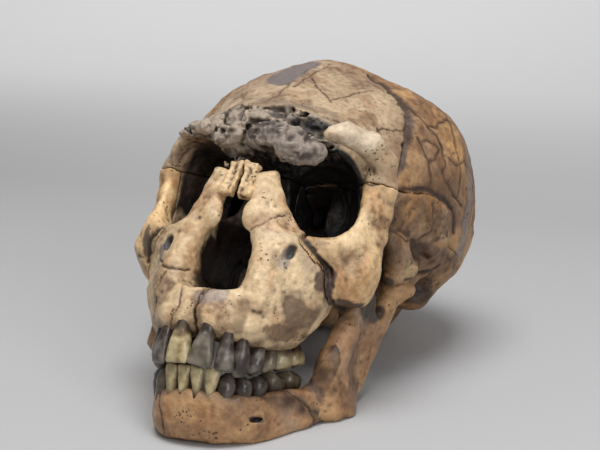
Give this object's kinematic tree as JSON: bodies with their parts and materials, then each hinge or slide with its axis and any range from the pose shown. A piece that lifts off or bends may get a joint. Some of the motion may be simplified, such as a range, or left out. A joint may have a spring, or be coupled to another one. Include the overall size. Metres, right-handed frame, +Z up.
{
  "type": "fossil hominin skull",
  "caption": "Life-size still model of a fossil hominin skull with its lower jaw, long low braincase, broken brow and worn teeth, lying as it rests on a table.",
  "frame": {"origin": "middle of the object's box, on the table it rests on", "axes": "+Z up from the table, +Y towards the back of the head, so the face looks along -Y, and +X towards the skull's own left"},
  "size_m": [0.1426, 0.2214, 0.136],
  "materials": {
    "face_bone": "cream-yellow fossil bone, speckled with small dark pits and stained brown, satin",
    "vault_bone": "brown fossil bone with dark cracks, matt",
    "jaw_bone": "orange-tan fossil bone, satin",
    "grey_stone": "rough dark grey stone"
  },
  "bodies": {
    "root": {"frontal": "vault_bone", "parietal_left": "vault_bone", "parietal_right": "vault_bone", "temporal_left": "vault_bone", "temporal_right": "vault_bone", "occipital": "vault_bone", "sphenoid": "vault_bone", "zygomatic_left": "face_bone", "zygomatic_right": "face_bone", "maxilla_left": "face_bone", "maxilla_right": "face_bone", "nasal_left": "face_bone", "nasal_right": "face_bone", "mandible": "jaw_bone", "brow_matrix": "grey_stone"}
  },
  "joints": []
}
